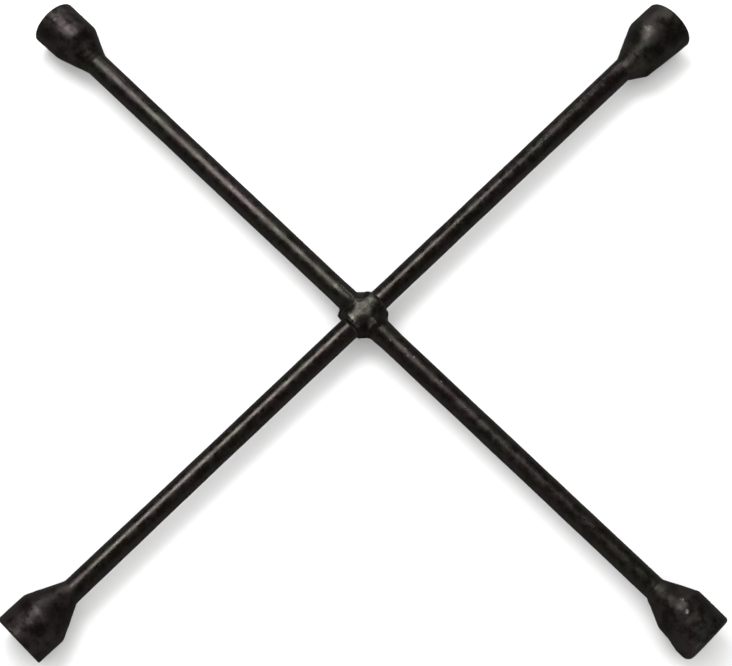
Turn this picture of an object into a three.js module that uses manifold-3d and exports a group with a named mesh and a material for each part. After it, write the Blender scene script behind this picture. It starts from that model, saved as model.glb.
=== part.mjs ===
// Four-way lug wrench: two crossed round bars with a hexagon socket on each of the four ends.
// Millimetres. The axes of the two bars cross at the origin, the wrench lies in the XY plane, +Z up.
// The eye bar runs along X and is forged out into a pierced boss; the cross bar runs along Y through it.
import * as THREE from "three";
import { mergeVertices } from "three/addons/utils/BufferGeometryUtils.js";
import Module from "manifold-3d";

const wasm = await Module();
wasm.setup();

// Whole wrench
const TIP_TO_TIP = 508;
const REACH = TIP_TO_TIP / 2;
const BAR_DIAMETER = 12.7;
const BAR_RADIUS = BAR_DIAMETER / 2;
const ROUND_SEGMENTS = 36;

// Forged eye in the middle of the eye bar
const EYE_RADIUS = 12.2;
const EYE_HALF_LENGTH = 11;
const EYE_CORNER = 8;
const EYE_FLAT_HEIGHT = 11.4;
const EYE_ROOT_RADIUS = 8.6;
const EYE_ROOT_LENGTH = 20;
const PAST_EYE = 2 * EYE_RADIUS;

// Fits and welds
const PRESS_GAP = 0.2;
const WELD_GAP = 0.15;
const CENTRE_WELD_LEG = 2.2;
const CENTRE_WELD_HEIGHT = 1.5;
const NECK_WELD_LEG = 3;
const WELD_TOE = 0.3;

// What the four sockets share
const NECK_RADIUS = 7.9;
const NECK_START = 219.5;
const BAR_END = 225;
const HEX_DEPTH = 18;
const RELIEF_DEPTH = 3;
const RELIEF_TIP = 2.5;
const CHAMFER_DEPTH = 2.2;
const CHAMFER_MARGIN = 0.5;
const SHOULDER_ROUNDING = 3;
const MOUTH_ROUNDING = 1.2;
const CURVE_STEPS = 3;
const HALF_HEX_SIDE = Math.PI / 6;

// Size in inches, hexagon across flats, outside diameters, end of the taper, and heading in degrees from +X
const SOCKETS = [
  { size: "3_4", acrossFlats: 19.05, shoulder: 29.6, mouth: 31.6, taperEnd: 232, heading: 0 },
  { size: "13_16", acrossFlats: 20.64, shoulder: 30.8, mouth: 31, taperEnd: 233, heading: 90 },
  { size: "11_16", acrossFlats: 17.46, shoulder: 28, mouth: 28.2, taperEnd: 232.5, heading: 180 },
  { size: "7_8", acrossFlats: 22.23, shoulder: 32.6, mouth: 32.4, taperEnd: 237.5, heading: 270 },
];

const barFinish = finish(0x16140f, 0.45);
const socketFinish = finish(0x1a1813, 0.5);
const weldFinish = finish(0x12110e, 0.6);

function finish(color, roughness) {
  return new THREE.MeshStandardMaterial({ color, roughness, metalness: 0.6 });
}

// A closed three.js geometry as a manifold-3d solid.
function toSolid(geometry) {
  const bare = geometry.clone();
  bare.deleteAttribute("normal");
  bare.deleteAttribute("uv");
  const merged = mergeVertices(bare, 1e-3);
  return new wasm.Manifold(
    new wasm.Mesh({
      numProp: 3,
      vertProperties: merged.attributes.position.array,
      triVerts: new Uint32Array(merged.index.array),
    }),
  );
}

// A manifold-3d solid back as a three.js geometry.
function toGeometry(solid) {
  const { vertProperties, triVerts } = solid.getMesh();
  const geometry = new THREE.BufferGeometry();
  geometry.setAttribute("position", new THREE.BufferAttribute(vertProperties, 3));
  geometry.setIndex(new THREE.BufferAttribute(triVerts, 1));
  geometry.computeVertexNormals();
  return geometry;
}

// Turns an outline of (radius, distance) points around the X axis; distance is measured along +X.
function turnedAlongX(outline) {
  return new THREE.LatheGeometry(outline, ROUND_SEGMENTS).rotateZ(-Math.PI / 2);
}

// A solid round rod along X.
function rod(radius, from, to) {
  return turnedAlongX([
    new THREE.Vector2(0, from),
    new THREE.Vector2(radius, from),
    new THREE.Vector2(radius, to),
    new THREE.Vector2(0, to),
  ]);
}

// The bar swells slightly where it runs into the eye.
function eyeRoot() {
  const outline = new THREE.Path();
  outline.moveTo(0, -EYE_ROOT_LENGTH);
  outline.lineTo(BAR_RADIUS, -EYE_ROOT_LENGTH);
  outline.quadraticCurveTo(BAR_RADIUS, -EYE_RADIUS, EYE_ROOT_RADIUS, -EYE_CORNER);
  outline.lineTo(EYE_ROOT_RADIUS, EYE_CORNER);
  outline.quadraticCurveTo(BAR_RADIUS, EYE_RADIUS, BAR_RADIUS, EYE_ROOT_LENGTH);
  outline.lineTo(0, EYE_ROOT_LENGTH);
  return turnedAlongX(outline.getPoints(CURVE_STEPS));
}

// The boss is a barrel around the cross bar, flattened above and below by the forging dies.
function eyeBoss() {
  const endRadius = EYE_RADIUS - EYE_CORNER;
  const side = EYE_HALF_LENGTH - EYE_CORNER;
  const outline = new THREE.Path();
  outline.moveTo(0, -EYE_HALF_LENGTH);
  outline.lineTo(endRadius, -EYE_HALF_LENGTH);
  outline.absarc(endRadius, -side, EYE_CORNER, -Math.PI / 2, 0);
  outline.absarc(endRadius, side, EYE_CORNER, 0, Math.PI / 2);
  outline.lineTo(0, EYE_HALF_LENGTH);
  const barrel = new THREE.LatheGeometry(outline.getPoints(CURVE_STEPS), ROUND_SEGMENTS);
  const dies = new THREE.BoxGeometry(2 * PAST_EYE, 2 * PAST_EYE, 2 * EYE_FLAT_HEIGHT);
  return toSolid(barrel).intersect(toSolid(dies));
}

function eyeBar() {
  const hole = rod(BAR_RADIUS + PRESS_GAP, -PAST_EYE, PAST_EYE).rotateZ(Math.PI / 2);
  const forged = toSolid(rod(BAR_RADIUS, -BAR_END, BAR_END))
    .add(toSolid(eyeRoot()))
    .add(eyeBoss())
    .subtract(toSolid(hole));
  return named("eye_bar", toGeometry(forged), barFinish);
}

function crossBar() {
  const bar = named("cross_bar", rod(BAR_RADIUS, -BAR_END, BAR_END), barFinish);
  bar.rotation.z = Math.PI / 2;
  return bar;
}

// A ring of weld metal around a bar, thin at its toe and full height at the face it fills up to.
function weldRing(toe, face, height) {
  const inner = BAR_RADIUS + WELD_GAP;
  const outer = BAR_RADIUS + height;
  const outline = new THREE.Path();
  outline.moveTo(inner, toe);
  outline.lineTo(inner + WELD_TOE, toe);
  outline.quadraticCurveTo(outer, (toe + face) / 2, outer, face);
  outline.lineTo(inner, face);
  outline.lineTo(inner, toe);
  return turnedAlongX(outline.getPoints(CURVE_STEPS));
}

// Where the cross bar leaves the eye, a bead fills the corner between the bar and the rounded boss.
function centreWeld(name, heading) {
  const toe = EYE_HALF_LENGTH + CENTRE_WELD_LEG;
  const ring = weldRing(-toe, -EYE_HALF_LENGTH - PRESS_GAP, CENTRE_WELD_HEIGHT);
  const weld = named(name, ring, weldFinish);
  weld.rotation.z = THREE.MathUtils.degToRad(heading + 180);
  return weld;
}

// Outside of a socket: neck, taper, rounded shoulder, slightly flared wall and rounded mouth.
function socketOutside({ shoulder, mouth, taperEnd }) {
  const shoulderRadius = shoulder / 2;
  const mouthRadius = mouth / 2;
  const taper = new THREE.Vector2(shoulderRadius - NECK_RADIUS, taperEnd - NECK_START).normalize();
  const outline = new THREE.Path();
  outline.moveTo(0, NECK_START);
  outline.lineTo(NECK_RADIUS, NECK_START);
  outline.lineTo(
    shoulderRadius - SHOULDER_ROUNDING * taper.x,
    taperEnd - SHOULDER_ROUNDING * taper.y,
  );
  outline.quadraticCurveTo(shoulderRadius, taperEnd, shoulderRadius, taperEnd + SHOULDER_ROUNDING);
  outline.lineTo(mouthRadius, REACH - MOUTH_ROUNDING);
  outline.quadraticCurveTo(mouthRadius, REACH, mouthRadius - MOUTH_ROUNDING, REACH);
  outline.lineTo(0, REACH);
  return turnedAlongX(outline.getPoints(CURVE_STEPS));
}

// The hexagon is turned by half a side, so that one pair of its flats is square to Z.
function hexPocket(acrossFlats) {
  const cornerRadius = acrossFlats / Math.sqrt(3);
  const length = HEX_DEPTH + MOUTH_ROUNDING;
  const hexagon = new THREE.CylinderGeometry(cornerRadius, cornerRadius, length, 6);
  hexagon.rotateY(HALF_HEX_SIDE).rotateZ(-Math.PI / 2);
  return hexagon.translate(REACH - HEX_DEPTH + length / 2, 0, 0);
}

// Below the broached hexagon the hole is round and ends in a shallow drill point.
function reliefHole(acrossFlats) {
  const radius = acrossFlats / 2 - PRESS_GAP;
  const bottom = REACH - HEX_DEPTH - RELIEF_DEPTH;
  return turnedAlongX([
    new THREE.Vector2(0, bottom - RELIEF_TIP),
    new THREE.Vector2(radius, bottom),
    new THREE.Vector2(radius, REACH - HEX_DEPTH / 2),
    new THREE.Vector2(0, REACH - HEX_DEPTH / 2),
  ]);
}

// A cone at the mouth leads the nut into the hexagon.
function mouthChamfer(acrossFlats) {
  const wide = acrossFlats / Math.sqrt(3) + CHAMFER_MARGIN;
  const narrow = acrossFlats / 2 - PRESS_GAP;
  return turnedAlongX([
    new THREE.Vector2(0, REACH - CHAMFER_DEPTH),
    new THREE.Vector2(narrow, REACH - CHAMFER_DEPTH),
    new THREE.Vector2(wide, REACH),
    new THREE.Vector2(wide, REACH + MOUTH_ROUNDING),
    new THREE.Vector2(0, REACH + MOUTH_ROUNDING),
  ]);
}

function socket(spec) {
  const neckBore = rod(BAR_RADIUS + PRESS_GAP, NECK_START - PRESS_GAP, BAR_END + PRESS_GAP);
  const solid = toSolid(socketOutside(spec))
    .subtract(toSolid(neckBore))
    .subtract(toSolid(hexPocket(spec.acrossFlats)))
    .subtract(toSolid(reliefHole(spec.acrossFlats)))
    .subtract(toSolid(mouthChamfer(spec.acrossFlats)));
  return named("socket_" + spec.size, toGeometry(solid), socketFinish);
}

// The neck weld joins the end of the bar to the small end of the socket.
function neckWeld(spec) {
  const ring = weldRing(NECK_START - NECK_WELD_LEG, NECK_START - PRESS_GAP, NECK_RADIUS - BAR_RADIUS);
  return named("neck_weld_" + spec.size, ring, weldFinish);
}

function named(name, geometry, material) {
  const mesh = new THREE.Mesh(geometry, material);
  mesh.name = name;
  return mesh;
}

const wrench = new THREE.Group();
wrench.add(eyeBar());
wrench.add(crossBar());
wrench.add(centreWeld("centre_weld_13_16_side", 90));
wrench.add(centreWeld("centre_weld_7_8_side", 270));
for (const spec of SOCKETS) {
  const arm = new THREE.Group();
  arm.rotation.z = THREE.MathUtils.degToRad(spec.heading);
  arm.add(socket(spec));
  arm.add(neckWeld(spec));
  wrench.add(arm);
}

export default wrench;
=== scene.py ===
"""Looks of a black four-way lug wrench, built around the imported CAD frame. Metres, +Z up."""
import math

import bmesh
import bpy
import numpy as np
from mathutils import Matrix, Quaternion, Vector

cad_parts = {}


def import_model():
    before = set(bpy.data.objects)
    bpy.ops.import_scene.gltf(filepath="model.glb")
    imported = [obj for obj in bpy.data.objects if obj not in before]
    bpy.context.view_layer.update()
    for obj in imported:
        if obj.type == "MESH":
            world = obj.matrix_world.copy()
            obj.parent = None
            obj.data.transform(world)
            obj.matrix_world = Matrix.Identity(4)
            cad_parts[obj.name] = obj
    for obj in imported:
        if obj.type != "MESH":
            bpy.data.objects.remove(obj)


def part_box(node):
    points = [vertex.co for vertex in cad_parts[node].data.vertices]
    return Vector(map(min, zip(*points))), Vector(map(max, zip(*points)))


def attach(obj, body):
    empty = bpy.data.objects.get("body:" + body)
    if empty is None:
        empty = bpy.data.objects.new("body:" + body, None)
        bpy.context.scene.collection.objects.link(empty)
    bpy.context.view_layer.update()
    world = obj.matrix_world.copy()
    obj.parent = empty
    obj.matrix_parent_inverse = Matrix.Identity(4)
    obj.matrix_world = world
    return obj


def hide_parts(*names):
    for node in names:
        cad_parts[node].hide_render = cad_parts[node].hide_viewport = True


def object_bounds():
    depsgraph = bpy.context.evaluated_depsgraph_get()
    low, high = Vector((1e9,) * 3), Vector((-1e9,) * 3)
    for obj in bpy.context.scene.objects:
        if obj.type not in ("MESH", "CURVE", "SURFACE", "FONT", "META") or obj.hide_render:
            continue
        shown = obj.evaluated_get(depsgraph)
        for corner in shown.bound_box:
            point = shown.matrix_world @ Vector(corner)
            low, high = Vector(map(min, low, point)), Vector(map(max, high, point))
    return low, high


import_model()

cad_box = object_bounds()

MM = 0.001
BODY = "root"

# Places read from the frame
REACH = cad_box[1].x
FLOOR_Z = cad_box[0].z
BAR_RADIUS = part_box("cross_bar")[1].z
BAR_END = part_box("cross_bar")[1].y
EYE_HALF_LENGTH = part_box("eye_bar")[1].y
EYE_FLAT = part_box("eye_bar")[1].z
NECK_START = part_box("socket_3_4")[0].x

# The forged eye: a ridge over the cross bar, the roots of its two arms (-X first), a web between the four
# bars, the flats left by the dies, and a nub of flash at one corner
RIDGE_HALF_WIDTH = 8.8 * MM
RIDGE_HEIGHT = EYE_FLAT + 0.9 * MM
RIDGE_BLEND = 3.0 * MM
ROOT_WIDENINGS = (0, 0.6 * MM)
ROOT_RISES = (3.4 * MM, 1.0 * MM)
ROOT_FROM = 5 * MM
ROOT_TO = 24 * MM
DIE_HEIGHT = EYE_FLAT - 0.1 * MM
DIE_LEAN = 0.05
WEB_REACH = EYE_FLAT + 0.6 * MM
WEB_DIAGONAL = 13.4 * MM
WEB_SLOPE = math.radians(38)
WEB_BLEND = 1.6 * MM
DIE_BLEND = 1.6 * MM
NUB = Vector((-9.7, -9.1, 0)) * MM
NUB_SIZE = 1.5 * MM
NUB_HEIGHT = 1.1 * MM

# The sockets
HEX_SIDES = 6
HEX_DEPTH = 18 * MM
HEX_CORNER_ROUNDING = 0.3 * MM
RELIEF_DEPTH = 3 * MM
RELIEF_TIP = 2.5 * MM
TIP_SHARE = 0.8
CHAMFER_DEPTH = 2.2 * MM
CHAMFER_MARGIN = 0.5 * MM
OUTLINE_ROUNDING = 1.6 * MM
PRESS_GAP = 0.2 * MM

# Fineness of the meshes: points round a piece (AROUND for the eye bar and the sockets), and steps along it
AROUND = 144
BAR_AROUND = 72
WELD_AROUND = 240
HOLE_AROUND = 96
CROSS_BAR_STEPS = 451
EYE_STEP = 0.3 * MM
ARM_STEP = 1 * MM
WALL_STEPS = 66
RIM_STEPS = 9
NECK_WELD_STEPS = 22
CENTRE_WELD_STEPS = 14
OUTLINE_SAMPLES = 9
SLIVER = 0.03 * MM

# Edges sharper than this, in degrees, are shaded as hard ones
CREASE = 32
PUNCH_CREASE = 40
WELD_CREASE = 60

# Each forging leans a little: its outline on the left and right side, seen looking outwards, as points of
# (distance from the centre, radius) in mm, and the rounding of its rim on each side. Its marks are bare scars,
# painted
# highlights and painted shade: (distance in mm, degrees from the left side over the top, size in mm, change of
# wear).
SOCKETS = {
    "3_4": {
        "heading": 0, "flats": 19.05, "rim": (1.8, 4.2), "gloss": 0.42, "warmth": 0.52,
        "scars_and_painted_light": [(235.5, 94, 1.1, 0.8), (229.5, 80, 1.0, 0.5), (242, 60, 5, -0.4), (244, 120, 4, 0.1)],
        "left": [(215, 6.3), (233, 15.1), (254, 14.5)],
        "right": [(215.5, 6.3), (230.5, 13.5), (238, 14.2), (245.5, 16.1), (254, 15.9)],
    },
    "13_16": {
        "heading": 90, "flats": 20.64, "rim": (1.3, 1.3), "gloss": 0.42, "warmth": 0.42,
        "scars_and_painted_light": [(243, 138, 5, -0.8), (233, 135, 4, -0.8), (236, 74, 4, 0.16), (249, 85, 3, 0.12)],
        "left": [(214.5, 6.3), (236.5, 16.0), (254, 15.9)],
        "right": [(210.5, 6.3), (221.5, 12.7), (254, 15.5)],
    },
    "11_16": {
        "heading": 180, "flats": 17.46, "rim": (1.0, 1.2), "gloss": 0.37, "warmth": 0.55,
        "scars_and_painted_light": [(229, 92, 6, -0.75), (246, 99, 2.6, 0.15), (248, 84, 1.8, 0.15), (243, 45, 5, -0.5)],
        "left": [(215, 6.5), (237, 12.9), (254, 13.5)],
        "right": [(215.5, 6.4), (233, 14.5), (254, 14.5)],
    },
    "7_8": {
        "heading": 270, "flats": 22.23, "rim": (0.9, 0.9), "gloss": 0.37, "warmth": 0.66,
        "scars_and_painted_light": [(243, 90, 4.2, 0.18), (238, 126, 4.5, -0.9), (250, 100, 3, -0.4), (231, 80, 5, -0.5)],
        "left": [(219, 6.3), (237, 15.7), (254, 15.4)],
        "right": [(215.5, 6.3), (235.3, 15.6), (254, 15.9)],
    },
}


# ---------------------------------------------------------------- numbers and noise

HASH_PRIMES = (73856093, 19349663, 83492791)
HASH_MULTIPLIER = 1274126177
HASH_RANGE = 0xFFFF

# Where each kind of noise starts counting its seeds. The welds and their toes add their heading.
LUMP_SEED = 1
PIT_SEED = 5
SCUFF_SEED = 21
DIE_MARK_SEED = 31
FORGED_SCALE_SEED = 37
FLASH_SEED = 41
SOCKET_SEAM_SEED = 43
NECK_WELD_SEED = 51
CENTRE_WELD_SEED = 81
CENTRE_TOE_SEED = 91


def lattice_value(cell, seed):
    """A repeatable value from -1 to 1 for each whole-number cell."""
    mixed = np.full(cell.shape[:-1], seed * HASH_MULTIPLIER, np.int64)
    for axis, prime in enumerate(HASH_PRIMES):
        mixed ^= cell[..., axis] * prime
    mixed = (mixed ^ (mixed >> 13)) * HASH_MULTIPLIER
    mixed ^= mixed >> 16
    return (mixed & HASH_RANGE) / (HASH_RANGE / 2) - 1


def noise(points, size, seed):
    """Smooth value noise from -1 to 1 whose lumps are about `size` across."""
    scaled = points / size
    cell = np.floor(scaled).astype(np.int64)
    part = scaled - cell
    blend = part * part * part * (part * (part * 6 - 15) + 10)
    total = 0
    for corner in np.ndindex(2, 2, 2):
        offset = np.array(corner)
        weight = np.prod(np.where(offset == 1, blend, 1 - blend), axis=-1)
        total = total + weight * lattice_value(cell + offset, seed)
    return total


def roughened(points, size, seed, octaves=3):
    """Noise with finer and weaker copies of itself on top."""
    return sum(noise(points, size / 2**k, seed + k) / 2**k for k in range(octaves))


def smooth_min(a, b, reach):
    share = np.clip(0.5 + 0.5 * (b - a) / reach, 0, 1)
    return b * (1 - share) + a * share - reach * share * (1 - share)


def smooth_max(a, b, reach):
    return -smooth_min(-a, -b, reach)


def smooth_step(x, low, high):
    share = np.clip((x - low) / (high - low), 0, 1)
    return share * share * (3 - 2 * share)


def bump(x, centre, width):
    """1 at centre, falling smoothly to 0 over about one width."""
    return np.exp(-(((x - centre) / width) ** 2))


def rounded_outline(points, along, rounding):
    """Radius of a straight-sided outline whose corners are rounded over a length of `rounding`."""
    places = [p * MM for p, _ in points]
    radii = [r * MM for _, r in points]
    shifts = np.linspace(-0.5, 0.5, OUTLINE_SAMPLES) * rounding
    return sum(np.interp(along + shift, places, radii) for shift in shifts) / len(shifts)


# ---------------------------------------------------------------- meshes

def turn(points, heading):
    """Turns points about Z by a heading in degrees."""
    angle = math.radians(heading)
    c, s = math.cos(angle), math.sin(angle)
    return points @ np.array([[c, s, 0], [-s, c, 0], [0, 0, 1]])


def angles_around(count):
    return np.linspace(0, 2 * np.pi, count, endpoint=False)


def ring_points(along, radius, angles):
    """Rings about the X axis: `along` and `radius` are arrays of (rings, points round a ring)."""
    along, radius, angles = np.broadcast_arrays(along, radius, angles)
    return np.stack([along, radius * np.cos(angles), radius * np.sin(angles)], axis=-1)


def grid_faces(count, around, loop):
    """Quads between neighbouring rings; `loop` joins the last ring to the first."""
    faces = []
    for i in range(count if loop else count - 1):
        below, above = i * around, (i + 1) % count * around
        for j in range(around):
            k = (j + 1) % around
            faces.append((below + j, below + k, above + k, above + j))
    return faces


def cap_faces(count, around):
    """Triangles that close the first and last ring on two pole points added after the grid."""
    first, last = count * around, count * around + 1
    top = (count - 1) * around
    faces = []
    for j in range(around):
        k = (j + 1) % around
        faces.append((first, k, j))
        faces.append((last, top + j, top + k))
    return faces


def make_piece(name, rings, material, node, wear_and_painted_light=0.0, poles=None, heading=0, crease=CREASE):
    """A closed mesh from a grid of rings: capped on two poles, or joined up as a loop without them."""
    count, around = rings.shape[:2]
    points = rings.reshape(-1, 3)
    worn = np.array(np.broadcast_to(wear_and_painted_light, (count, around))).reshape(-1)
    faces = grid_faces(count, around, loop=poles is None)
    if poles is not None:
        points = np.vstack([points, poles])
        worn = np.append(worn, [0, 0])
        faces += cap_faces(count, around)
    mesh = bpy.data.meshes.new(name)
    mesh.from_pydata(turn(points, heading).tolist(), [], faces)
    # The wear attribute carries real wear, and on the eye and sockets also painted highlights and painted
    # shade
    mesh.attributes.new("wear_and_painted_light", "FLOAT", "POINT").data.foreach_set("value", worn.astype(np.float32))
    piece = bpy.data.objects.new(name, mesh)
    bpy.context.scene.collection.objects.link(piece)
    settle(piece, crease)
    mesh.materials.append(material)
    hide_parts(node)
    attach(piece, BODY)
    return piece


def settle(piece, crease):
    """Consistent outward normals, smooth shading, and sharp edges where the surface turns hard."""
    mesh = piece.data
    work = bmesh.new()
    work.from_mesh(mesh)
    bmesh.ops.recalc_face_normals(work, faces=work.faces)
    work.to_mesh(mesh)
    work.free()
    mesh.shade_smooth()
    mesh.set_sharp_from_angle(angle=math.radians(crease))


# ---------------------------------------------------------------- bars

SCALE_LUMPS = 26 * MM
SCALE_LUMP_HEIGHT = 0.07 * MM
SCALE_PITS = 3.2 * MM
SCALE_PIT_DEPTH = 0.02 * MM
SCALE_PIT_START = 0.35
SCUFF_SIZE = 9 * MM
SCUFF_STRETCH = np.array([0.25, 1, 1])
SCUFF_WEAR = 0.28
SCUFF_SPREAD = 0.05
SWELL_FADE = 1.5 * MM
END_ROUNDING = 0.8 * MM
BAR_ENDS = np.array([[-BAR_END, 0, 0], [BAR_END, 0, 0]])

# How far each bar's radius stands off from its nominal size, as (place along the bar, difference) in mm
EYE_BAR_SWELL = [(-216, 0.45), (-20, 0.15), (20, 0.1), (216, 0.1)]
CROSS_BAR_SWELL = [(-216, 0), (-120, -0.15), (-20, 0.05), (20, -0.25), (216, 0.25)]


def swell(table, along):
    """The variation of a bar's radius, which stops short of its ends inside the sockets."""
    outside = 1 - smooth_step(abs(along), NECK_START - SWELL_FADE, NECK_START)
    return outside * np.interp(along, [p * MM for p, _ in table], [d * MM for _, d in table])


def rolled_skin(points):
    """Height of a hot-rolled bar's skin: a slow waviness, and shallow scale pits."""
    pits = np.clip(roughened(points, SCALE_PITS, PIT_SEED) - SCALE_PIT_START, 0, 1)
    return SCALE_LUMP_HEIGHT * roughened(points, SCALE_LUMPS, LUMP_SEED) - SCALE_PIT_DEPTH * pits


def scuffs(points):
    """Wear of a bar's skin, in patches longer than they are wide."""
    rubbing = roughened(points * SCUFF_STRETCH, SCUFF_SIZE, SCUFF_SEED)
    return SCUFF_WEAR * np.clip(rubbing + SCUFF_SPREAD, 0, 1)


def cross_bar(material):
    along = np.linspace(-BAR_END, BAR_END, CROSS_BAR_STEPS)[:, None]
    angles = angles_around(BAR_AROUND)
    rounding = END_ROUNDING * bump(abs(along), BAR_END, END_ROUNDING)
    radius = BAR_RADIUS + swell(CROSS_BAR_SWELL, along) - rounding
    rings = ring_points(along, radius, angles)
    rings = ring_points(along, radius + rolled_skin(rings), angles)
    return make_piece("cross_bar_rolled", rings, material, "cross_bar",
                      scuffs(rings), BAR_ENDS, heading=90)


def ellipse(u, v, half_width, half_height):
    """A cautious distance to an ellipse about the origin, never more than the true one."""
    return (np.hypot(u / half_width, v / half_height) - 1) * np.minimum(half_width, half_height)


def eye_distance(points):
    """Signed distance to the eye bar, whose eye is made of a ridge, two roots and a sloping web."""
    x, y, z = points[..., 0], points[..., 1], points[..., 2]
    radius = BAR_RADIUS + swell(EYE_BAR_SWELL, x)
    rise = 1 - smooth_step(abs(x), ROOT_FROM, ROOT_TO)
    widening, lift = (np.where(x < 0, *pair) * rise for pair in (ROOT_WIDENINGS, ROOT_RISES))
    arms = ellipse(y, z, radius + widening, radius + lift)
    ridge = ellipse(x, z, RIDGE_HALF_WIDTH, RIDGE_HEIGHT)
    ridge = smooth_max(ridge, abs(y) - EYE_HALF_LENGTH, RIDGE_BLEND)
    diagonal = (abs(x) + abs(y)) / math.sqrt(2) - WEB_DIAGONAL
    web = diagonal * math.cos(WEB_SLOPE) + abs(z) * math.sin(WEB_SLOPE)
    web = smooth_max(web, np.maximum(abs(x) - WEB_REACH, abs(y) - EYE_HALF_LENGTH), WEB_BLEND)
    eye = smooth_min(smooth_min(arms, ridge, WEB_BLEND), web, WEB_BLEND)
    die = DIE_HEIGHT - DIE_LEAN * np.clip(-x, 0, EYE_FLAT)
    return smooth_max(eye, abs(z) - die, DIE_BLEND)


# The eye bar's rings start outside its shape, and each move takes them in by a share of what is left
EYE_ZONE = 22 * MM
SHRINKING_MOVES = 80
SHRINKING_SHARE = 0.8


def eye_bar(material):
    fine = np.arange(-EYE_ZONE, EYE_ZONE, EYE_STEP)
    coarse = np.arange(EYE_ZONE, BAR_END, ARM_STEP)
    along = np.concatenate([[-BAR_END], -coarse[::-1], fine, coarse, [BAR_END]])[:, None]
    angles = angles_around(AROUND)
    radius = np.full((len(along), AROUND), 2 * EYE_FLAT)
    for _ in range(SHRINKING_MOVES):
        radius = radius - SHRINKING_SHARE * eye_distance(ring_points(along, radius, angles))
    rings = ring_points(along, radius, angles)
    forged = 1 - smooth_step(abs(along), 0.3 * EYE_ZONE, 1.3 * EYE_ZONE)
    radius = radius + rolled_skin(rings) + forged * (forging_skin(rings) + parting_seam(rings))
    rings = ring_points(along, radius, angles)
    piece = make_piece("eye_bar_forged", rings, material, "eye_bar",
                       scuffs(rings) + eye_wear_and_painted_light(rings), BAR_ENDS)
    pierce(piece, BAR_RADIUS + PRESS_GAP / 2)
    return piece


DIE_MARKS = 9 * MM
DIE_MARK_HEIGHT = 0.14 * MM
FORGED_SCALE = 2.6 * MM
FORGED_SCALE_HEIGHT = 0.04 * MM


def forging_skin(points):
    """Height of a forged surface: die marks and scale, coarser than a rolled bar's."""
    die_marks = DIE_MARK_HEIGHT * roughened(points, DIE_MARKS, DIE_MARK_SEED)
    return die_marks + FORGED_SCALE_HEIGHT * roughened(points, FORGED_SCALE, FORGED_SCALE_SEED)


FLASH_WIDTH = 0.9 * MM
FLASH_HEIGHT = 0.2 * MM
FLASH_UNEVENNESS = 0.12 * MM
FLASH_LUMPS = 4 * MM


def parting_seam(points):
    """The trimmed flash that the two forging dies leave at mid height, with a nub left at one corner."""
    height = FLASH_HEIGHT + FLASH_UNEVENNESS * roughened(points, FLASH_LUMPS, FLASH_SEED, octaves=2)
    seam = bump(points[..., 2], 0, FLASH_WIDTH) * height
    nub = bump(np.linalg.norm(points - np.array(NUB), axis=-1), 0, NUB_SIZE)
    return seam + NUB_HEIGHT * nub


# Wear of the eye: on its top, and on the crest of the arm beside it, which also serves as a painted highlight;
# and painted shade in its corners
TOP_WEAR = 0.24
CREST_WEAR_AND_HIGHLIGHT = 0.24
CORNER_PAINTED_SHADE = 0.9
FLECK_WEAR = 0.6

# Sizes of those places: how deep the top's wear goes, how wide the crest is and how far to one side, where its
# wear comes and goes along the arm, and where the corners' painted shade comes and goes outwards and ends
# upwards
TOP_DEPTH = 1.5 * MM
CREST_WIDTH = 2.2 * MM
CREST_SIDE = -0.4 * MM
CREST_COMES = (4 * MM, 8 * MM)
CREST_GOES = (15 * MM, 28 * MM)
CORNER_COMES = (3 * MM, 6 * MM)
CORNER_GOES = (10 * MM, 14 * MM)
CORNER_TOP = (8.5 * MM, 10.5 * MM)

# Bare-metal flecks on the eye bar: place along the arm, place across it, and size, in mm
FLECKS = [(21.7, -1.6, 0.6), (31.4, 0.7, 0.7), (35.0, -1.4, 0.5), (37.8, 0.4, 0.6), (58.0, 1.0, 0.5)]


def eye_wear_and_painted_light(points):
    """The eye is rubbed on top, with painted shade in its corners; the arm beside it has a rubbed crest that
    is also a painted highlight, and a few bare flecks.
    """
    x, y, z = points[..., 0], points[..., 1], points[..., 2]
    wear_and_painted_light = TOP_WEAR * bump(abs(z), EYE_FLAT, TOP_DEPTH)
    # The rubbed crest of the +X arm, its sheen lifted also as a painted highlight along the ridge
    crest = smooth_step(x, *CREST_COMES) * (1 - smooth_step(x, *CREST_GOES))
    crest = crest * bump(y, CREST_SIDE, CREST_WIDTH) * smooth_step(abs(z), 0.5 * BAR_RADIUS, BAR_RADIUS)
    wear_and_painted_light = wear_and_painted_light + CREST_WEAR_AND_HIGHLIGHT * crest
    # Painted shade: the eye's corners between the arms are dimmed, fading out towards the top
    corner = smooth_step(np.minimum(abs(x), abs(y)), *CORNER_COMES) * (1 - smooth_step(abs(x), *CORNER_GOES))
    wear_and_painted_light = wear_and_painted_light - CORNER_PAINTED_SHADE * corner * (1 - smooth_step(abs(z), *CORNER_TOP))
    for place, side, size in FLECKS:
        away = np.hypot(x - place * MM, y - side * MM)
        wear_and_painted_light = wear_and_painted_light + FLECK_WEAR * bump(away, 0, size * MM) * (z > 0)
    return wear_and_painted_light


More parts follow.
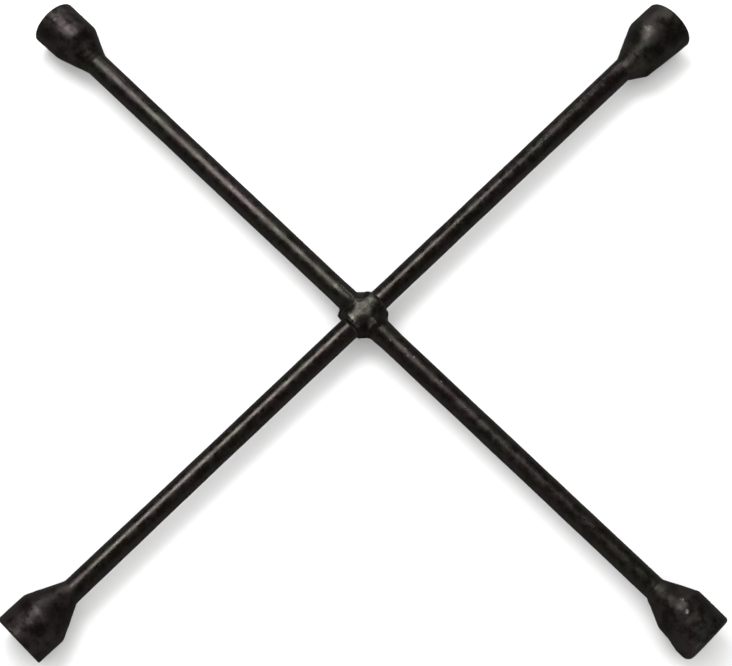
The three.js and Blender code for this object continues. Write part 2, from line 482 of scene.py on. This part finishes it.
def pierce(piece, radius):
    """Cuts the eye's round hole along Y."""
    length = 3 * EYE_HALF_LENGTH
    rings = ring_points(np.array([[-length], [length]]), radius, angles_around(HOLE_AROUND))
    faces = grid_faces(2, HOLE_AROUND, loop=False)
    faces += [tuple(range(HOLE_AROUND)), tuple(range(HOLE_AROUND, 2 * HOLE_AROUND))]
    mesh = bpy.data.meshes.new("punch")
    mesh.from_pydata(turn(rings.reshape(-1, 3), 90).tolist(), [], faces)
    punch = bpy.data.objects.new("punch", mesh)
    bpy.context.scene.collection.objects.link(punch)
    settle(punch, PUNCH_CREASE)
    cut = piece.modifiers.new("pierce", "BOOLEAN")
    cut.operation = "DIFFERENCE"
    cut.solver = "EXACT"
    cut.object = punch
    apply_modifiers(piece)
    bpy.data.objects.remove(punch)
    mend_cut(piece.data)
    piece.data.set_sharp_from_angle(angle=math.radians(CREASE))


def mend_cut(mesh):
    """Merges the slivers that a cut leaves, and fans out its many-sided faces so no triangles overlap."""
    work = bmesh.new()
    work.from_mesh(mesh)
    bmesh.ops.remove_doubles(work, verts=work.verts, dist=SLIVER)
    bmesh.ops.poke(work, faces=[face for face in work.faces if len(face.verts) > 4])
    work.to_mesh(mesh)
    work.free()


def apply_modifiers(piece):
    graph = bpy.context.evaluated_depsgraph_get()
    made = bpy.data.meshes.new_from_object(piece.evaluated_get(graph))
    piece.modifiers.clear()
    piece.data = made


# ---------------------------------------------------------------- sockets

def both_sides(left, right, angles):
    """Blends from the right side's value to the left side's, round the socket."""
    return right + (left - right) * (0.5 + 0.5 * np.cos(angles))


def socket_outside(spec, along, angles):
    """Radius of the outside of a socket: neck, taper and wall, run smoothly into one another."""
    left = rounded_outline(spec["left"], along, OUTLINE_ROUNDING)
    right = rounded_outline(spec["right"], along, OUTLINE_ROUNDING)
    return both_sides(left, right, angles)


SOCKET_SEAM_WIDTH = 0.7 * MM
SOCKET_SEAM_HEIGHT = 0.08 * MM
SOCKET_SEAM_LUMPS = 5 * MM
SOCKET_SKIN_SHARE = 0.8


def socket_skin(spec, along, radius, angles):
    """The same outside with its forged surface: lumps, scale and a trimmed parting line on both sides."""
    row = turn(ring_points(along, radius, angles), spec["heading"])
    seam = bump(radius * np.sin(angles), 0, SOCKET_SEAM_WIDTH) * SOCKET_SEAM_HEIGHT
    seam = seam * (1 + noise(row, SOCKET_SEAM_LUMPS, SOCKET_SEAM_SEED))
    return radius + SOCKET_SKIN_SHARE * forging_skin(row) + seam


def hexagon(apothem, angles):
    """Radius of a hexagon with slightly rounded corners and one pair of flats square to Z."""
    side = 2 * np.pi / HEX_SIDES
    from_flat = (angles - np.pi / 2 + side / 2) % side - side / 2
    corner = apothem / math.cos(side / 2)
    return smooth_min(apothem / np.cos(from_flat), corner - HEX_CORNER_ROUNDING, HEX_CORNER_ROUNDING)


MARKED_RADIUS = 2 * BAR_RADIUS


def scars_and_painted_light(spec, along, angles):
    """Change of wear from a socket's scars, painted highlights and painted shade."""
    change = 0
    for place, degrees, size, amount in spec["scars_and_painted_light"]:
        around = abs(angles - math.radians(degrees)) * MARKED_RADIUS
        change = change + amount * bump(np.hypot(along - place * MM, around), 0, size * MM)
    return change


class Rings:
    """Collects the rings of one socket, with the wear of each, which carries painted highlights and painted
    shade too.
    """

    def __init__(self, angles):
        self.angles = angles
        self.rows = []
        self.wear_and_painted_light = []

    def add(self, along, radius, wear_and_painted_light=0.0):
        self.rows.append(ring_points(along, radius, self.angles))
        self.wear_and_painted_light.append(wear_and_painted_light + 0 * self.angles)


# Wear of a socket: on its wall, on its shoulder, on its rim, on the edge of the lip, and down its hexagon
WALL_WEAR = 0.08
SHOULDER_WEAR = 0.1
SHOULDER_WIDTH = 2 * MM
RIM_WEAR = 0.12
RIM_EDGE_WEAR = 0.14
MOUTH_WEAR = 0.3
LIP_WEARS = (0.45, 0.85)
CHAMFER_WEAR = 0.5
HEX_WEAR = 0.22
HEX_END_WEAR = 0.1

# Bevels of a socket's neck and lip, along it and outwards
NECK_BEVEL = (0.2 * MM, 0.06 * MM)
LIP_BEVEL = (0.06 * MM, 0.12 * MM)
LIP_GAP = 0.02 * MM


def neck_bore(rings, spec):
    """The blind hole that takes the end of the bar, from its floor out to the edge of the neck."""
    bore = BAR_RADIUS + PRESS_GAP
    deep, wide = NECK_BEVEL
    for share in (0.25, 1):
        rings.add(BAR_END + PRESS_GAP, bore * share)
    rings.add(NECK_START + deep, bore)
    rings.add(NECK_START, socket_outside(spec, NECK_START, rings.angles) - wide)


def outer_wall(rings, spec, rim):
    """From the neck to where the rim's rounding starts, which is further in on one side."""
    rim_start = REACH - rim
    shoulder = spec["left"][1][0] * MM
    for share in np.linspace(0.004, 1, WALL_STEPS):
        along = NECK_START + (rim_start - NECK_START) * share
        radius = socket_outside(spec, along, rings.angles)
        radius = socket_skin(spec, along, radius, rings.angles)
        worn = WALL_WEAR + SHOULDER_WEAR * bump(along, shoulder, SHOULDER_WIDTH)
        # The socket's marks add scars, painted highlights and painted shade to the wall's wear
        rings.add(along, radius, worn + scars_and_painted_light(spec, along, rings.angles))
    return radius


def rounded_rim(rings, rim, outer):
    for angle in np.linspace(0, np.pi / 2, RIM_STEPS)[1:]:
        lift = rim * math.sin(angle)
        inset = rim * (1 - math.cos(angle))
        rings.add(REACH - rim + lift, outer - inset, RIM_WEAR + RIM_EDGE_WEAR * math.sin(2 * angle))


# Depths of the rings down the pocket: close together along the chamfer, then wide apart down the hexagon
POCKET_DEPTHS = np.concatenate([np.arange(0.25, 2.6, 0.15), np.arange(3, HEX_DEPTH / MM, 1)]) * MM


def nut_pocket(rings, spec, inner):
    """The face of the mouth, its chamfer, the hexagon, and the round relief below it. Returns its depth."""
    apothem = spec["flats"] / 2 * MM
    lip = apothem / math.cos(np.pi / HEX_SIDES) + CHAMFER_MARGIN
    narrow = apothem - PRESS_GAP
    hex_radius = hexagon(apothem, rings.angles)
    floor_depth = HEX_DEPTH + RELIEF_DEPTH
    deep, wide = LIP_BEVEL
    rings.add(REACH, lip + 0.5 * (inner - lip), MOUTH_WEAR)
    rings.add(REACH, lip + wide, LIP_WEARS[0])
    rings.add(REACH - deep, lip + LIP_GAP, LIP_WEARS[1])
    for depth in POCKET_DEPTHS:
        cone = lip + (narrow - lip) * depth / CHAMFER_DEPTH
        worn = CHAMFER_WEAR if depth < CHAMFER_DEPTH else HEX_WEAR
        rings.add(REACH - depth, np.maximum(hex_radius, cone), worn)
    rings.add(REACH - HEX_DEPTH, hex_radius, HEX_END_WEAR)
    rings.add(REACH - HEX_DEPTH, narrow)
    rings.add(REACH - floor_depth, narrow)
    rings.add(REACH - floor_depth - RELIEF_TIP * TIP_SHARE, narrow * (1 - TIP_SHARE))
    return floor_depth + RELIEF_TIP


def socket(name, material):
    spec = SOCKETS[name]
    rings = Rings(angles_around(AROUND))
    left, right = spec["rim"]
    rim = both_sides(left, right, rings.angles) * MM
    neck_bore(rings, spec)
    outer = outer_wall(rings, spec, rim)
    rounded_rim(rings, rim, outer)
    depth = nut_pocket(rings, spec, outer - rim)
    poles = np.array([[BAR_END + PRESS_GAP, 0, 0], [REACH - depth, 0, 0]])
    return make_piece("socket_" + name + "_forged", np.stack(rings.rows), material, "socket_" + name,
                      np.stack(rings.wear_and_painted_light), poles, heading=spec["heading"])


# ---------------------------------------------------------------- welds

RIPPLES = 17
RIPPLE_WANDER = 1.5
WANDER_LENGTH = 5 * MM
SPATTER_SIZE = 1.2 * MM
SPATTER_HEIGHT = 0.04 * MM
WELD_LIFT = 0.02 * MM

NECK_TOE_REACH = 1.2 * MM
NECK_TOE_WANDER = 0.4 * MM
NECK_RIPPLE_HEIGHT = 0.05 * MM
NECK_BEAD_HEIGHT = 0.15 * MM

CENTRE_TOE = EYE_HALF_LENGTH + 0.9 * MM
CENTRE_ROOT = EYE_HALF_LENGTH - 0.9 * MM
CENTRE_BEAD_HEIGHT = 0.8 * MM
CENTRE_BEAD_CURVE = 1.3
CENTRE_RIPPLE_HEIGHT = 0.12 * MM
CENTRE_TOE_WANDER = 0.25 * MM
CENTRE_TOE_LENGTH = 6 * MM


def weld_ripples(row, angles, size, seed):
    """Overlapping ripples and fine spatter of a weld laid round a bar."""
    wander = RIPPLE_WANDER * noise(row, WANDER_LENGTH, seed)
    spatter = SPATTER_HEIGHT * noise(row, SPATTER_SIZE, seed + 1)
    return size * (abs(np.sin(angles * RIPPLES + wander)) - 0.5) + spatter


def weld_inside(rings, toe, root, angles):
    """Adds the hidden side of a weld, which lies close round the bar."""
    rings.append(ring_points(root, BAR_RADIUS + PRESS_GAP / 2, angles))
    rings.append(ring_points((root + toe) / 2, BAR_RADIUS + PRESS_GAP / 4, angles))


def neck_weld(name, material):
    """The ring that runs from the bar up to the neck of the socket, and carries on its taper."""
    spec = SOCKETS[name]
    heading = spec["heading"]
    angles = angles_around(WELD_AROUND)
    toe = both_sides(spec["left"][0][0], spec["right"][0][0], angles) * MM - NECK_TOE_REACH
    toe = toe + NECK_TOE_WANDER * noise(ring_points(toe, BAR_RADIUS, angles), WANDER_LENGTH, heading)
    bar = BAR_RADIUS + WELD_LIFT
    rings = []
    for share in np.linspace(0, 1, NECK_WELD_STEPS):
        along = toe + (NECK_START - toe) * share
        bead = bar + NECK_BEAD_HEIGHT * smooth_step(share, 0, 0.4)
        radius = np.maximum(socket_outside(spec, along, angles), bead)
        radius = bar + (radius - bar) * smooth_step(share, -0.2, 0.15)
        row = ring_points(along, radius, angles)
        raised = weld_ripples(row, angles, NECK_RIPPLE_HEIGHT, NECK_WELD_SEED + heading)
        rings.append(ring_points(along, radius + raised * math.sin(math.pi * share), angles))
    weld_inside(rings, toe, NECK_START, angles)
    make_piece("neck_weld_" + name + "_bead", np.stack(rings), material, "neck_weld_" + name,
               heading=heading, crease=WELD_CREASE)


def centre_weld(name, material):
    """The small bead in the corner between the cross bar and the eye."""
    heading = SOCKETS[name]["heading"]
    angles = angles_around(WELD_AROUND)
    rings = []
    for share in np.linspace(0, 1, CENTRE_WELD_STEPS):
        along = CENTRE_TOE + (CENTRE_ROOT - CENTRE_TOE) * share
        radius = BAR_RADIUS + WELD_LIFT + CENTRE_BEAD_HEIGHT * share**CENTRE_BEAD_CURVE
        row = ring_points(along, radius, angles)
        raised = weld_ripples(row, angles, CENTRE_RIPPLE_HEIGHT, CENTRE_WELD_SEED + heading)
        wander = CENTRE_TOE_WANDER * noise(row, CENTRE_TOE_LENGTH, CENTRE_TOE_SEED + heading)
        rings.append(ring_points(along + wander * (1 - share), radius + raised * share, angles))
    weld_inside(rings, CENTRE_TOE, CENTRE_ROOT, angles)
    make_piece("centre_weld_" + name + "_bead", np.stack(rings), material,
               "centre_weld_" + name + "_side", heading=heading, crease=WELD_CREASE)


# ---------------------------------------------------------------- materials

class Shader:
    """Short calls for building one node material."""

    def __init__(self, name):
        self.material = bpy.data.materials.new(name)
        self.material.use_nodes = True
        self.tree = self.material.node_tree
        self.surface = self.tree.nodes["Principled BSDF"]
        self.place = self.node("ShaderNodeTexCoord").outputs["Object"]

    def node(self, kind, **settings):
        made = self.tree.nodes.new(kind)
        for key, value in settings.items():
            setattr(made, key, value)
        return made

    def feed(self, socket, value):
        if isinstance(value, bpy.types.NodeSocket):
            self.tree.links.new(value, socket)
        else:
            socket.default_value = value

    def stretched(self, factors):
        mapping = self.node("ShaderNodeMapping")
        self.feed(mapping.inputs["Vector"], self.place)
        mapping.inputs["Scale"].default_value = factors
        return mapping.outputs["Vector"]

    def noise(self, size, detail=3.0, roughness=0.55, place=None):
        made = self.node("ShaderNodeTexNoise")
        self.feed(made.inputs["Vector"], place or self.place)
        made.inputs["Scale"].default_value = 1 / size
        made.inputs["Detail"].default_value = detail
        made.inputs["Roughness"].default_value = roughness
        return made.outputs["Fac"]

    def range(self, value, low, high, to_low=0.0, to_high=1.0):
        made = self.node("ShaderNodeMapRange", interpolation_type="SMOOTHSTEP")
        self.feed(made.inputs["Value"], value)
        for key, number in (("From Min", low), ("From Max", high), ("To Min", to_low), ("To Max", to_high)):
            made.inputs[key].default_value = number
        return made.outputs["Result"]

    def math(self, operation, a, b):
        made = self.node("ShaderNodeMath", operation=operation)
        self.feed(made.inputs[0], a)
        self.feed(made.inputs[1], b)
        return made.outputs[0]

    def mix(self, share, a, b):
        made = self.node("ShaderNodeMix", data_type="RGBA")
        self.feed(made.inputs["Factor"], share)
        self.feed(made.inputs["A"], a)
        self.feed(made.inputs["B"], b)
        return made.outputs["Result"]

    def attribute(self, name):
        return self.node("ShaderNodeAttribute", attribute_name=name).outputs["Fac"]

    def bump(self, height, distance, strength=1.0, normal=None):
        made = self.node("ShaderNodeBump")
        made.inputs["Strength"].default_value = strength
        made.inputs["Distance"].default_value = distance
        self.feed(made.inputs["Height"], height)
        if normal is not None:
            self.feed(made.inputs["Normal"], normal)
        return made.outputs["Normal"]

    def finish(self, **inputs):
        for key, value in inputs.items():
            self.feed(self.surface.inputs[key.replace("_", " ")], value)
        return self.material


WARM_BLACK = (0.0040, 0.0024, 0.0019, 1)
OLIVE_BLACK = (0.0026, 0.0025, 0.0015, 1)
RUST_BROWN = (0.020, 0.0105, 0.0060, 1)
BARE_STEEL = (0.34, 0.32, 0.29, 1)
WARM_SHEEN = (1.0, 0.85, 0.83, 1)
OLIVE_SHEEN = (0.93, 0.91, 0.75, 1)
NO_SHEEN = (0, 0, 0, 1)
SHEEN_LEVEL = 0.8

# Sizes of what the finish shows
MOTTLE_SIZE = 40 * MM
PATCH_SIZE = 9 * MM
RUST_SIZE = 7 * MM
GLOSS_SIZE = 4.5 * MM
SCALE_SIZE = 2.2 * MM
RUBBED_SIZE = 1.6 * MM
SCRATCH_SIZE = 0.8 * MM
BAR_GRAIN = 0.5 * MM
WELD_GRAIN = 0.4 * MM
SOCKET_GRAIN = 0.6 * MM

RUST_SHARE = 0.6
SCRATCH_WEAR = 0.12
BARE_METALLIC = 0.9
GRAIN_DEPTH = 0.03 * MM
SCALE_DEPTH = 0.045 * MM
BUMP_STRENGTH = 0.5

# Wear rising through the first range below takes dull patches to full sheen, on rubbed places and as painted
# highlights.
# Negative wear is painted shade: down to the next value it dims all patches, to the last value's share of
# their sheen.
WEAR_AND_HIGHLIGHT_LIFT = (0.12, 0.3)
PAINTED_SHADE_WEAR = -0.8
PAINTED_SHADE_SHARE = 0.15


def black_finish(name, gloss, warmth=0.5, grain=BAR_GRAIN, streaks=None, patch_floor=0.5):
    """Black oxide over mill scale, mottled and semi-gloss: bare steel where wear is high, painted highlight
    where it rises a little, painted shade below 0.

    A higher `warmth` gives more warm black, and `patch_floor` is the sheen left in the dullest patches."""
    shader = Shader(name)
    mottle = shader.range(shader.noise(MOTTLE_SIZE, detail=7, roughness=0.68), 0.9 - warmth, 1.1 - warmth)
    black = shader.mix(mottle, OLIVE_BLACK, WARM_BLACK)
    rust = shader.range(shader.noise(RUST_SIZE, detail=6, roughness=0.65), 0.60, 0.74, 0, RUST_SHARE)
    black = shader.mix(rust, black, RUST_BROWN)

    fine = shader.noise(grain, detail=4, roughness=0.6)
    scratch_place = shader.stretched(streaks) if streaks else shader.place
    scratches = shader.noise(SCRATCH_SIZE, detail=2, roughness=0.5, place=scratch_place)
    scratches = shader.range(scratches, 0.62, 0.74)
    rubbed = shader.range(shader.noise(RUBBED_SIZE, detail=5, roughness=0.7), 0.38, 0.62, 0.25, 1.6)
    wear_and_painted_light = shader.attribute("wear_and_painted_light")
    worn = shader.math("MULTIPLY", wear_and_painted_light, rubbed)
    worn = shader.math("ADD", worn, shader.math("MULTIPLY", scratches, SCRATCH_WEAR))
    bare = shader.range(worn, 0.30, 0.90)

    rough = shader.noise(GLOSS_SIZE, detail=5, roughness=0.65)
    rough = shader.range(rough, 0.3, 0.7, gloss - 0.08, gloss + 0.16)
    rough = shader.math("ADD", rough, shader.range(fine, 0.3, 0.7, -0.05, 0.06))
    normal = shader.bump(fine, GRAIN_DEPTH, BUMP_STRENGTH)
    scale = shader.range(shader.noise(SCALE_SIZE, detail=5, roughness=0.65), 0.35, 0.65)
    normal = shader.bump(scale, SCALE_DEPTH, BUMP_STRENGTH, normal)
    patches_and_painted_light = shader.range(shader.noise(PATCH_SIZE, detail=5, roughness=0.62), 0.36, 0.60, patch_floor, 1)
    # Painted shade dims the sheen where wear is negative; painted highlights and rubbed places lift it to full
    patches_and_painted_light = shader.math("MULTIPLY", patches_and_painted_light, shader.range(wear_and_painted_light, PAINTED_SHADE_WEAR, 0, PAINTED_SHADE_SHARE, 1))
    patches_and_painted_light = shader.math("MAXIMUM", patches_and_painted_light, shader.range(wear_and_painted_light, *WEAR_AND_HIGHLIGHT_LIFT))
    sheen = shader.mix(patches_and_painted_light, NO_SHEEN, shader.mix(mottle, OLIVE_SHEEN, WARM_SHEEN))
    return shader.finish(
        Base_Color=shader.mix(bare, black, BARE_STEEL),
        Metallic=shader.math("MULTIPLY", bare, BARE_METALLIC),
        Roughness=rough,
        Specular_IOR_Level=SHEEN_LEVEL,
        Specular_Tint=sheen,
        Normal=normal,
    )


FLOOR_TONES = (0.84, 0.84, 0.835, 1), (0.87, 0.87, 0.865, 1)
FLOOR_CLOUDS = 0.4
FLOOR_ROUGHNESS = 0.9


def floor_finish():
    shader = Shader("pale_floor")
    tone = shader.range(shader.noise(FLOOR_CLOUDS, detail=3, roughness=0.5), 0.3, 0.7)
    return shader.finish(Base_Color=shader.mix(tone, *FLOOR_TONES), Roughness=FLOOR_ROUGHNESS)


# ---------------------------------------------------------------- studio

CAMERA_AZIMUTH = 41.98
CAMERA_ELEVATION = 71.10
CAMERA_ROLL = 2.90
CAMERA_DISTANCE = 1.0245
CAMERA_AIM = Vector((8.3, -6.5, 0)) * MM
CAMERA_LENS = 91.8

FLOOR_HALF_SIDE = 6.0
FLOOR_GAP = 0.3 * MM
SKY_STRENGTH = 0.85

# What reflections see of the room: (place from straight below, 0, to straight above, 1; strength)
REFLECTED_ROOM = [(0, 0.05), (0.22, 0.16), (0.46, 0.18), (0.73, 0.020)]


def pointing(azimuth, elevation):
    """Unit vector towards a place seen at this azimuth (0 is -Y, 90 is +X) and elevation, in degrees."""
    a, e = math.radians(azimuth), math.radians(elevation)
    return Vector((math.sin(a) * math.cos(e), -math.cos(a) * math.cos(e), math.sin(e)))


def camera():
    back = pointing(CAMERA_AZIMUTH, CAMERA_ELEVATION)
    data = bpy.data.cameras.new("camera")
    data.lens = CAMERA_LENS
    made = bpy.data.objects.new("camera", data)
    made.location = CAMERA_AIM + back * CAMERA_DISTANCE
    roll = Quaternion((0, 0, 1), math.radians(CAMERA_ROLL))
    made.rotation_mode = "QUATERNION"
    made.rotation_quaternion = (-back).to_track_quat("-Z", "Y") @ roll
    bpy.context.scene.collection.objects.link(made)
    bpy.context.scene.camera = made


def area_light(name, towards, distance, size, power, reflected=True):
    """A rectangular lamp that looks at the centre of the wrench; the first side of its size is level."""
    data = bpy.data.lights.new(name, "AREA")
    data.shape = "RECTANGLE"
    data.size, data.size_y = size
    data.energy = power
    made = bpy.data.objects.new(name, data)
    made.location = towards * distance
    made.rotation_mode = "QUATERNION"
    made.rotation_quaternion = towards.to_track_quat("Z", "Y")
    made.visible_glossy = reflected
    made.visible_camera = False
    bpy.context.scene.collection.objects.link(made)


def floor():
    """A wide square just under the wrench, left out of its reflections."""
    half = FLOOR_HALF_SIDE
    mesh = bpy.data.meshes.new("floor")
    corners = [(-half, -half, 0), (half, -half, 0), (half, half, 0), (-half, half, 0)]
    mesh.from_pydata(corners, [], [(0, 1, 2, 3)])
    mesh.materials.append(floor_finish())
    made = bpy.data.objects.new("floor", mesh)
    made.location.z = FLOOR_Z - FLOOR_GAP
    made.visible_glossy = False
    bpy.context.scene.collection.objects.link(made)


def world():
    """Even white light, but reflections see a darker room that is palest just below the horizon."""
    made = bpy.data.worlds.new("studio")
    made.use_nodes = True
    tree = made.node_tree
    direction = tree.nodes.new("ShaderNodeSeparateXYZ")
    tree.links.new(tree.nodes.new("ShaderNodeTexCoord").outputs["Generated"], direction.inputs["Vector"])
    upward = tree.nodes.new("ShaderNodeMapRange")
    upward.inputs["From Min"].default_value = -1
    tree.links.new(direction.outputs["Z"], upward.inputs["Value"])
    room = tree.nodes.new("ShaderNodeValToRGB")
    room.color_ramp.interpolation = "EASE"
    steps = room.color_ramp.elements
    while len(steps) < len(REFLECTED_ROOM):
        steps.new(1)
    for step, (place, strength) in zip(steps, REFLECTED_ROOM):
        step.position = place
        step.color = (strength, strength, strength, 1)
    tree.links.new(upward.outputs["Result"], room.inputs["Fac"])
    seen = tree.nodes.new("ShaderNodeMix")
    seen.inputs["A"].default_value = SKY_STRENGTH
    tree.links.new(tree.nodes.new("ShaderNodeLightPath").outputs["Is Glossy Ray"], seen.inputs["Factor"])
    tree.links.new(room.outputs["Color"], seen.inputs["B"])
    tree.links.new(seen.outputs["Result"], tree.nodes["Background"].inputs["Strength"])
    tree.nodes["Background"].inputs["Color"].default_value = (1, 1, 1, 1)
    bpy.context.scene.world = made


def lamps():
    """The softbox makes the streaks of light along the bars, and the panels show the sides."""
    area_light("overhead", Vector((0, 0, 1)), distance=1.6, size=(2.4, 2.4), power=12, reflected=False)
    area_light("softbox", pointing(256, 63.5), distance=1.2, size=(0.70, 0.48), power=8)
    area_light("front_panel", pointing(45, 22), distance=1.5, size=(0.8, 0.4), power=2.5)
    area_light("back_panel", pointing(225, 24), distance=1.5, size=(0.4, 0.3), power=1.4)


def studio():
    world()
    floor()
    camera()
    lamps()
    bpy.context.scene.view_settings.view_transform = "Standard"


# ---------------------------------------------------------------- the wrench

def wrench():
    """Makes every piece. Scratches are stretched along each bar."""
    eye_bar(black_finish("black_eye_bar", gloss=0.31, streaks=(0.12, 1, 1)))
    cross_bar(black_finish("black_cross_bar", gloss=0.25, streaks=(1, 0.12, 1)))
    weld_finish = black_finish("black_welds", gloss=0.42, grain=WELD_GRAIN)
    for name, spec in SOCKETS.items():
        finish = black_finish("black_socket_" + name, spec["gloss"], spec["warmth"], SOCKET_GRAIN,
                              patch_floor=0.15)
        socket(name, finish)
        neck_weld(name, weld_finish)
    for name in ("13_16", "7_8"):
        centre_weld(name, weld_finish)


wrench()
studio()
